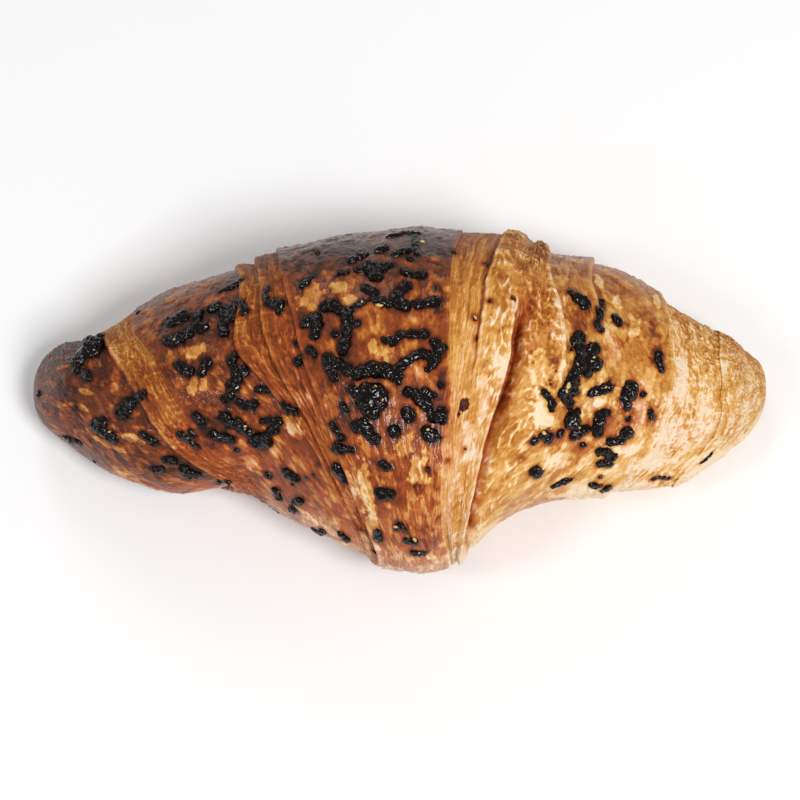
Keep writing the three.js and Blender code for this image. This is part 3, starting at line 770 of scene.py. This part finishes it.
def blurred(values, rows, columns):
    """The mean over a window of the grid, for telling crests from hollows."""
    for axis, size in ((0, rows), (1, columns)):
        padded = np.concatenate([np.repeat(values.take([0], axis), size, axis), values,
                                 np.repeat(values.take([-1], axis), size + 1, axis)], axis)
        summed = np.cumsum(padded, axis)
        count = values.shape[axis]
        ahead = summed.take(range(2 * size, 2 * size + count), axis)
        behind = summed.take(range(0, count), axis)
        values = (ahead - behind) / (2 * size)
    return values


def groove(crust, index, width):
    """1 in the narrow hollow on the low side of an edge, where the edge stands."""
    gap = crust.x - crust.edges[index]
    low_side = -gap if is_rising(index) else gap
    share = edge_share(EDGES[index], crust.angle) * (low_side > -0.1)
    return share * smoothstep(width, 0.6 * width, low_side)


def browning(crust, relief):
    """How browned the crust is, 0 to 1, how ruddy, and its painted sheen at the back."""
    along, arc, place = crust.along, crust.arc, crust.place
    glazed, flaky, torn, streaked, peeled = crust.skins()
    front = smoothstep(75, 40, crust.angle)
    cloud = fractal([c / 9 for c in place], 101, 3)
    mottle = fractal([c / 2.4 for c in place], 105, 3)
    lines = fractal([along / 0.5, arc / 9], 121, 2)
    bands = fractal([along / 1.1, arc / 9], 123, 3)
    split = np.abs(fractal([along / 0.8 + 0.5 * cloud, arc / 8], 125, 2))
    threads = smoothstep(0.14, 0.02, split) * smoothstep(-0.4, 0.2, mottle)
    amber = smoothstep(-0.35, 0.35, fractal([along / 1.8, arc / 3.5], 167, 4)) - 0.5
    flecks = smoothstep(0.16, 0.36, fractal([along / 1.2, arc / 2.6], 151, 5))
    flecks = flecks * glazed * (0.5 + 0.5 * front) * smoothstep(150, 120, crust.angle)
    # Hollows of the fine relief darker, as painted shade; its crests paler, as thin curled dough
    crest = clamp(relief - blurred(relief, 5, 5), -0.12, 0.3)
    above = smoothstep(2, 14, crust.angle)
    # Painted shade beside the crease, under the ridge: browner and much redder
    sunk = crust.beside(8, 0.3, 4.2) * above
    # Painted shade in the narrow grooves at the ridge's two edges
    dark = (groove(crust, 8, 1.6) + 0.8 * groove(crust, 7, 1.3)) * above
    skirt = smoothstep(16, 3, crust.angle + 6 * noise([crust.x / 6, arc / 3], 131))
    skirt = skirt * smoothstep(-0.2, 0.4, noise([crust.x / 14, crust.x * 0], 133))
    # Pale thin skin and painted highlights, held back in the painted groove shade
    cream = crust.cream * (1 - 0.6 * dark)
    bake = (crust.finish("bake") + 0.1 * cloud + (0.06 + 0.15 * glazed) * mottle
            + 0.07 * (torn + streaked + 0.5 * peeled) * lines
            + (0.14 * torn + 0.2 * streaked + 0.16 * peeled) * bands
            - (0.16 * torn + 0.16 * streaked + 0.2 * peeled) * threads
            + 0.17 * (flaky + 0.8 * peeled + 0.3 * streaked) * amber
            - (0.24 * flaky + 0.2 * peeled + 0.12 * torn) * (crust.crests - 0.2)
            - 0.6 * crest + 0.06 * sunk + 0.16 * dark + 0.5 * crust.pit
            - 0.11 * glazed * crust.blisters - 0.24 * crust.gold - 0.2 * cream
            - 0.2 * (flecks - 0.25 * glazed) + 0.16 * crust.stain + crust.rims
            # Painted shade with caramel: a little darker at the foot of each edge
            - 0.10 * crust.lip + 0.03 * crust.foot - 0.22 * skirt)
    ruddy = (crust.finish("ruddy") + 0.35 * cloud + 0.15 * mottle
             - 0.45 * glazed * crust.blisters - 0.8 * crust.gold + 0.6 * crust.stain
             + 0.4 * crust.halo + 1.3 * sunk - 0.45 * flecks - 0.3 * amber + dark + crust.pit
             + 0.4 * cream)
    # Painted sheen: greyish glare on the back of the crust, weaker on the right wing
    painted_sheen = smoothstep(112, 145, crust.angle) * smoothstep(180, 150, crust.angle)
    painted_sheen = painted_sheen * clamp(0.55 + 0.5 * mottle + 0.4 * cloud) * smoothstep(40, 10, crust.x)
    return bake, clamp(ruddy), painted_sheen


# Meshes

def grid_faces(rows, columns):
    """Quads of a tube of rows and wrapped columns."""
    row = np.arange(rows - 1)[:, None] * columns
    column = np.arange(columns)[None, :]
    after = (column + 1) % columns
    quads = [row + column, row + after, row + columns + after, row + columns + column]
    return np.stack(np.broadcast_arrays(*quads), -1).reshape(-1, 4)


def new_mesh(name, points, triangles, quads=()):
    """A smooth mesh from arrays of places in mm and of corners."""
    mesh = bpy.data.meshes.new(name)
    mesh.vertices.add(len(points))
    mesh.vertices.foreach_set("co", (points * MM).astype(np.float32).ravel())
    corners = np.concatenate([np.ravel(quads), triangles.ravel()])
    sizes = np.concatenate([np.full(len(quads), 4), np.full(len(triangles), 3)])
    mesh.loops.add(len(corners))
    mesh.loops.foreach_set("vertex_index", corners.astype(np.int32))
    mesh.polygons.add(len(sizes))
    starts = np.concatenate([[0], np.cumsum(sizes)[:-1]])
    mesh.polygons.foreach_set("loop_start", starts.astype(np.int32))
    mesh.polygons.foreach_set("use_smooth", np.ones(len(sizes), bool))
    mesh.update(calc_edges=True)
    mesh.validate()
    return mesh


def add_piece(mesh, material):
    """An object of the croissant, which rides on its one body and replaces its solid."""
    piece = bpy.data.objects.new(mesh.name, mesh)
    bpy.context.scene.collection.objects.link(piece)
    mesh.materials.append(material)
    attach(piece, "root")
    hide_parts(NODE)
    return piece


def set_attribute(mesh, name, values):
    """Gives each point of a mesh a number, or a vector from three columns."""
    kind, key = ("FLOAT", "value") if values.ndim == 1 else ("FLOAT_VECTOR", "vector")
    data = mesh.attributes.new(name, kind, "POINT").data
    data.foreach_set(key, values.astype(np.float32).ravel())


def sharpen_ends(mesh, columns, last_ring, count):
    """Keeps the flat ends of a stretch from bending the shading of its last rings."""
    pairs = np.zeros(len(mesh.edges) * 2, np.int32)
    mesh.edges.foreach_get("vertices", pairs)
    pairs = pairs.reshape(-1, 2)
    at_start = (pairs < columns).all(1)
    at_end = ((pairs >= last_ring) & (pairs < count)).all(1)
    sharp = mesh.attributes.new("sharp_edge", "BOOLEAN", "EDGE")
    sharp.data.foreach_set("value", at_start | at_end)


def crust_piece(name, first, last, fields, columns, material):
    """One closed stretch of the crust, with a fan over each end."""
    rows = last - first + 1
    points = fields["points"][first:last + 1].reshape(-1, 3)
    count = len(points)
    last_ring = count - columns
    ends = [points[:columns].mean(0), points[last_ring:].mean(0)]
    ring = np.arange(columns)
    after = (ring + 1) % columns
    start_fan = np.stack([after, ring, np.full(columns, count)], -1)
    end_fan = np.stack([last_ring + ring, last_ring + after, np.full(columns, count + 1)], -1)
    mesh = new_mesh(name, np.vstack([points, ends]), np.vstack([start_fan, end_fan]),
                    grid_faces(rows, columns))
    for key in ("bake", "ruddy", "painted_sheen", "glazed", "grain"):
        values = np.concatenate(fields[key][first:last + 1])
        set_attribute(mesh, key, np.concatenate([values, values[[0, -1]]]))
    sharpen_ends(mesh, columns, last_ring, count)
    add_piece(mesh, material)


def shift_to_solid(crust):
    """The move that puts the crust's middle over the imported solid's."""
    low, high = (np.array(corner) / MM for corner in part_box(NODE))
    middle = [(axis.max() + axis.min()) / 2 for axis in crust.place]
    return np.array([(low[0] + high[0]) / 2 - middle[0], (low[1] + high[1]) / 2 - middle[1], 0])


def build_crust(crust, drops, shift, material):
    """The crust's relief and finishes over its grid, then its pieces."""
    crust.uneven = fractal([c / 1.3 for c in crust.place], 141, 4)
    blister = fractal([crust.along / 3.2, crust.arc / 5], 21, 4)
    crust.blisters = smoothstep(0.12, 0.4, blister)
    crust.crests = crest_lines(crust)
    crust.gold = spots(crust, GOLD_PATCHES)
    crust.cream = spots(crust, CREAM_AND_HIGHLIGHT_PATCHES)
    crust.pit = spots(crust, PITS)
    crust.stain = spots(crust, STAINS_AND_SHADE)
    crust.halo = halo_of(crust, drops)
    crust.rims = 0.15 * crust.halo ** 2 + 0.2 * crust.halo ** 8
    relief = fine_relief(crust)
    bake, ruddy, painted_sheen = browning(crust, relief)
    proud = crust.proud + relief * (0.3 + 0.7 * relief_share(crust.angle))
    grain = np.stack([crust.along, crust.arc, 0 * crust.arc], -1)
    glazed = crust.skins()[SKINS.index("glazed")]
    fields = dict(points=roll_point(crust.x, crust.angle, proud) + shift,
                  bake=bake, ruddy=ruddy, painted_sheen=painted_sheen, glazed=glazed, grain=grain)
    for name, first, last in CRUST_PIECES:
        crust_piece(name, crust.feet[first], crust.feet[last], fields, len(crust.angle), material)


# Chocolate

def drop_at(x, angle, width, scatter, random):
    """A flattened drop on the crust: its centre, directions and half sizes."""
    here = crust_at(x, angle)
    along = crust_at(x + SLOPE_REACH, angle) - crust_at(x - SLOPE_REACH, angle)
    around = crust_at(x, angle + SLOPE_TURN) - crust_at(x, angle - SLOPE_TURN)
    out = np.cross(along, around)
    out = out / np.linalg.norm(out)
    along = along / np.linalg.norm(along)
    side = np.cross(out, along)
    radius = width / 2 * DROP_FULLNESS * random.uniform(0.82, 1.12)
    slip = random.uniform(-1, 1, 2) * scatter * width
    turn = random.uniform(0, math.pi)
    axes = np.array([along * math.cos(turn) + side * math.sin(turn),
                     side * math.cos(turn) - along * math.sin(turn), out])
    sizes = radius * np.array([random.uniform(1.0, 1.15), random.uniform(0.85, 1.0),
                               2 * DROP_HEIGHT * random.uniform(0.85, 1.15)])
    return dict(place=here + along * slip[0] + side * slip[1], radius=radius, axes=axes,
                sizes=sizes)


def places_of(numbers):
    """Pairs of x and angle from a row of a table."""
    return list(zip(numbers[::2], numbers[1::2]))


def chocolate_drops():
    """Every drop of the strings, and every single bit."""
    random = np.random.default_rng(7)
    drops = []
    for width, *numbers in CHOCOLATE:
        places = places_of(numbers)
        for place, ahead in zip(places, places[1:] + places[-1:]):
            gap = np.linalg.norm(crust_at(*ahead) - crust_at(*place))
            count = max(1, round(gap / (width * DROP_SPACING)))
            for n in range(count):
                x, angle = (lerp(p, q, n / count) for p, q in zip(place, ahead))
                drops.append(drop_at(x, angle, width, DROP_SCATTER, random))
    for width, *numbers in BITS:
        drops += [drop_at(x, angle, width, 0, random) for x, angle in places_of(numbers)]
    return drops


def ball(subdivisions):
    """Corners and triangles of a round ball of radius 1."""
    shape = bmesh.new()
    bmesh.ops.create_icosphere(shape, subdivisions=subdivisions, radius=1)
    points = np.array([v.co for v in shape.verts])
    faces = np.array([[v.index for v in f.verts] for f in shape.faces])
    shape.free()
    return points, faces


def pebbles_on(drop, random):
    """Centres and radii of the round pebbles that stand out of a drop."""
    for _ in range(PEBBLES):
        turn = random.uniform(0, 2 * math.pi)
        radius = random.uniform(*PEBBLE_SHARE)
        far = math.sqrt(random.uniform(0.05, 1)) * (1.1 - radius)
        lift = math.sqrt(1 - far * far) * 0.8
        unit = np.array([far * math.cos(turn), far * math.sin(turn), lift])
        yield (unit * drop["sizes"]) @ drop["axes"] + drop["place"], radius * drop["radius"]


def wrinkle(mesh):
    """Folds the set skin of the chocolate a little."""
    points, normals = np.zeros((2, len(mesh.vertices) * 3), np.float32)
    mesh.vertices.foreach_get("co", points)
    mesh.vertex_normals.foreach_get("vector", normals)
    points, normals = points.reshape(-1, 3) / MM, normals.reshape(-1, 3)
    folds = crumpled([c / WRINKLE_SIZE for c in points.T.astype(float)], 151, 2)
    points = points + normals * (WRINKLE_DEPTH * (2 * folds - 1))[:, None]
    mesh.vertices.foreach_set("co", (points * MM).astype(np.float32).ravel())
    mesh.update()


def apply_modifiers(piece):
    """Bakes a piece's modifiers into its mesh."""
    graph = bpy.context.evaluated_depsgraph_get()
    old = piece.data
    name = old.name
    piece.data = bpy.data.meshes.new_from_object(piece.evaluated_get(graph))
    piece.modifiers.clear()
    bpy.data.meshes.remove(old)
    piece.data.name = name


def build_chocolate(drops, shift, material):
    """The drops and their pebbles, melted into one skin."""
    random = np.random.default_rng(19)
    big, big_faces = ball(3)
    small, small_faces = ball(2)
    points, faces, start = [], [], 0
    for drop in drops:
        lumps = [(big * drop["sizes"] @ drop["axes"] + drop["place"], big_faces)]
        lumps += [(small * radius + centre, small_faces)
                  for centre, radius in pebbles_on(drop, random)]
        for lump, lump_faces in lumps:
            points.append(lump)
            faces.append(lump_faces + start)
            start += len(lump)
    mesh = new_mesh("chocolate", np.vstack(points) + shift, np.vstack(faces))
    piece = add_piece(mesh, material)
    melt = piece.modifiers.new("melt", "REMESH")
    melt.mode = "VOXEL"
    melt.voxel_size = CHOCOLATE_VOXEL * MM
    melt.use_smooth_shade = True
    soften = piece.modifiers.new("soften", "SMOOTH")
    soften.factor = 0.5
    soften.iterations = 2
    apply_modifiers(piece)
    wrinkle(piece.data)
    triangles = sum(len(p.vertices) - 2 for p in piece.data.polygons)
    thin = piece.modifiers.new("thin", "DECIMATE")
    thin.ratio = min(1.0, CHOCOLATE_FACES / triangles)
    apply_modifiers(piece)
    return piece.data


def build_crumbs(chocolate, shift, material):
    """Small golden crumbs on the chocolate, or on the crust beside it: flat, uneven lumps."""
    random = np.random.default_rng(23)
    up = ABOVE_THE_CRUST.normalized()
    skin = BVHTree.FromPolygons([v.co for v in chocolate.vertices],
                                [p.vertices for p in chocolate.polygons])
    unit, unit_faces = ball(2)
    points, faces = [], []
    for width, *numbers in CRUMBS:
        for x, angle in places_of(numbers):
            on_crust = Vector((crust_at(x, angle) + shift) * MM)
            place, normal = skin.ray_cast(on_crust + ABOVE_THE_CRUST, -up)[:2]
            if place is None:
                place, normal = on_crust, up
            turn = np.array(normal.to_track_quat("Z", "Y").to_matrix())
            sizes = width / 2 * np.array([1.0, random.uniform(*CRUMB_NARROWNESS), CRUMB_THICKNESS])
            uneven = random.uniform(*CRUMB_UNEVENNESS, (len(unit), 1))
            faces.append(unit_faces + len(unit) * len(points))
            points.append(unit * uneven * sizes @ turn.T + np.array(place) / MM)
    mesh = new_mesh("crumbs", np.vstack(points), np.vstack(faces))
    add_piece(mesh, material)


# Materials

def fill(tree, node, inputs):
    """Sets a node's inputs to values, or links them to sockets."""
    for key, value in inputs.items():
        if isinstance(value, bpy.types.NodeSocket):
            tree.links.new(value, node.inputs[key])
        else:
            node.inputs[key].default_value = value


def add_node(tree, kind, inputs, **settings):
    """The outputs of a new shader node with these inputs and settings."""
    node = tree.nodes.new(kind)
    for key, value in settings.items():
        setattr(node, key, value)
    fill(tree, node, inputs)
    return node.outputs


def attribute(tree, name, output="Fac"):
    return add_node(tree, "ShaderNodeAttribute", {}, attribute_name=name)[output]


def place_in(tree):
    return add_node(tree, "ShaderNodeTexCoord", {})["Object"]


def maths(tree, operation, *values):
    return add_node(tree, "ShaderNodeMath", dict(enumerate(values)), operation=operation)[0]


def mixed_colour(tree, factor, a, b):
    """Colour a where the factor is 0 and b where it is 1: sockets 6 and 7 of the node."""
    return add_node(tree, "ShaderNodeMix", {0: factor, 6: a, 7: b}, data_type="RGBA")[2]


def stretched_noise(tree, vector, sizes, detail=3.0, kind="FBM"):
    """Noise whose features have these sizes, in the units of the vector."""
    scale = [1 / size for size in sizes]
    mapped = add_node(tree, "ShaderNodeMapping", {"Vector": vector, "Scale": scale})[0]
    return add_node(tree, "ShaderNodeTexNoise", {"Vector": mapped, "Scale": 1.0, "Detail": detail},
                    noise_type=kind)["Fac"]


def round_noise(tree, size):
    return stretched_noise(tree, place_in(tree), [size] * 3)


def bump_of(tree, height, strength):
    inputs = {"Height": height, "Distance": 0.0002, "Strength": strength}
    return add_node(tree, "ShaderNodeBump", inputs)[0]


def ramp_of(tree, factor, positions, colours):
    """The colour at the factor, on a ramp of colours at positions from 0 to 1."""
    node = tree.nodes.new("ShaderNodeValToRGB")
    fill(tree, node, {"Fac": factor})
    elements = node.color_ramp.elements
    while len(elements) < len(colours):
        elements.new(0.5)
    for element, position, colour in zip(elements, positions, colours):
        element.position = position
        element.color = (*colour, 1)
    return node.outputs["Color"]


def new_material(name):
    material = bpy.data.materials.new(name)
    material.use_nodes = True
    return material, material.node_tree, material.node_tree.nodes["Principled BSDF"]


def flecks_of(tree, grain, glazed):
    """How much darker or lighter the fine flakes of the skin are, least where it is glazed."""
    flakes = stretched_noise(tree, grain, (0.9, 1.7, 1.0), 6.0, "RIDGED_MULTIFRACTAL")
    depth = maths(tree, "MULTIPLY_ADD", glazed, 0.24, -0.32)
    return maths(tree, "MULTIPLY", maths(tree, "SUBTRACT", flakes, FLECK_MEAN), depth)


def crust_material():
    """Baked dough: browning by attribute, with fine streaks and speckles in its grain."""
    material, tree, shader = new_material("crust")
    grain = attribute(tree, "grain", "Vector")
    glazed = attribute(tree, "glazed")
    streaks = stretched_noise(tree, grain, (0.25, 4.0, 1.0))
    speckle = stretched_noise(tree, grain, (0.5, 0.6, 1.0), detail=6.0)
    depth = maths(tree, "MULTIPLY_ADD", glazed, -0.07, 0.13)
    offset = maths(tree, "MULTIPLY", maths(tree, "SUBTRACT", streaks, 0.5), depth)
    spots = maths(tree, "MULTIPLY_ADD", speckle, 0.3, -0.15)
    bake = maths(tree, "ADD", maths(tree, "ADD", attribute(tree, "bake"), offset), spots)
    bake = maths(tree, "ADD", bake, flecks_of(tree, grain, glazed))
    positions, *colours = zip(*CRUST_COLOURS)
    golden, ruddy = (ramp_of(tree, bake, positions, column) for column in colours)
    colour = mixed_colour(tree, attribute(tree, "ruddy"), golden, ruddy)
    # Painted sheen: the greyish glare colour mixed in at the back
    painted_sheen_mix = maths(tree, "MULTIPLY", attribute(tree, "painted_sheen"), PAINTED_SHEEN_SHARE)
    rough = maths(tree, "MULTIPLY_ADD", glazed, -0.2, 0.5)
    height = maths(tree, "ADD", speckle, maths(tree, "MULTIPLY", streaks, 0.5))
    fill(tree, shader, {
        "Base Color": mixed_colour(tree, painted_sheen_mix, colour, PAINTED_SHEEN_COLOUR),
        "Roughness": maths(tree, "ADD", rough, maths(tree, "MULTIPLY_ADD", speckle, 0.2, -0.1)),
        "Specular IOR Level": 0.14,
        "Normal": bump_of(tree, height, 0.9),
        "Coat Weight": maths(tree, "MULTIPLY_ADD", glazed, 0.18, 0.06),
        "Coat Roughness": 0.07,
    })
    return material


def chocolate_material():
    """Set dark chocolate: nearly black, glossy, with a fine uneven skin."""
    material, tree, shader = new_material("chocolate")
    cloud = round_noise(tree, 0.0008)
    fine = round_noise(tree, 0.0005)
    fill(tree, shader, {
        "Base Color": mixed_colour(tree, cloud, (0.0008, 0.0004, 0.0004, 1),
                                   (0.008, 0.003, 0.003, 1)),
        "Roughness": maths(tree, "MULTIPLY_ADD", fine, 0.08, 0.03),
        "Specular IOR Level": 0.3,
        "Normal": bump_of(tree, fine, 0.3),
    })
    return material


def crumb_material():
    """Crisp golden crumbs, paler and browner in places."""
    material, tree, shader = new_material("crumb")
    cloud = round_noise(tree, 0.0006)
    colour = mixed_colour(tree, cloud, (0.5, 0.24, 0.03, 1), (0.8, 0.58, 0.24, 1))
    fill(tree, shader, {"Base Color": colour, "Roughness": 0.5})
    return material


def floor_material():
    """Pale matt paper."""
    material, tree, shader = new_material("floor")
    cloud = round_noise(tree, 0.2)
    colour = mixed_colour(tree, cloud, (0.93, 0.93, 0.93, 1), (0.97, 0.97, 0.97, 1))
    fill(tree, shader, {"Base Color": colour, "Roughness": 0.8})
    return material


# Floor, lights and camera

def build_floor():
    bpy.ops.mesh.primitive_plane_add(size=4, location=(0, 0, 0))
    floor = bpy.context.object
    floor.name = "floor"
    floor.data.materials.append(floor_material())
    floor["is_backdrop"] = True


def aim(data, place, towards):
    """A lamp or camera at a place, which faces in a direction."""
    item = bpy.data.objects.new(data.name, data)
    item.location = place
    item.rotation_euler = towards.to_track_quat("-Z", "Y").to_euler()
    bpy.context.scene.collection.objects.link(item)
    return item


def build_lights():
    """Soft lamps that face the croissant, in a white studio."""
    for name, place, size, power in LAMPS:
        light = bpy.data.lights.new(name, "AREA")
        light.energy = power
        light.size = size
        aim(light, place, CAMERA_TARGET - Vector(place))
    world = bpy.data.worlds.new("studio")
    world.use_nodes = True
    tree = world.node_tree
    fill(tree, tree.nodes["Background"], {"Color": (1, 1, 1, 1), "Strength": STUDIO_LIGHT})
    bpy.context.scene.world = world
    bpy.context.scene.view_settings.view_transform = "Standard"


def build_camera():
    camera = bpy.data.cameras.new("camera")
    camera.lens = CAMERA_LENS
    camera.sensor_width = SENSOR_WIDTH
    back = Vector((0, -math.cos(CAMERA_ELEVATION), math.sin(CAMERA_ELEVATION)))
    bpy.context.scene.camera = aim(camera, CAMERA_TARGET + back * CAMERA_DISTANCE, -back)


def corners(box):
    """A box as plain lists of numbers."""
    return [list(corner) for corner in box]


build_camera()
build_lights()
build_floor()
crust = Crust()
drops = chocolate_drops()
shift = shift_to_solid(crust)
build_crust(crust, drops, shift, crust_material())
chocolate = build_chocolate(drops, shift, chocolate_material())
build_crumbs(chocolate, shift, crumb_material())

{"cad": corners(cad_box), "visual": corners(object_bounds())}
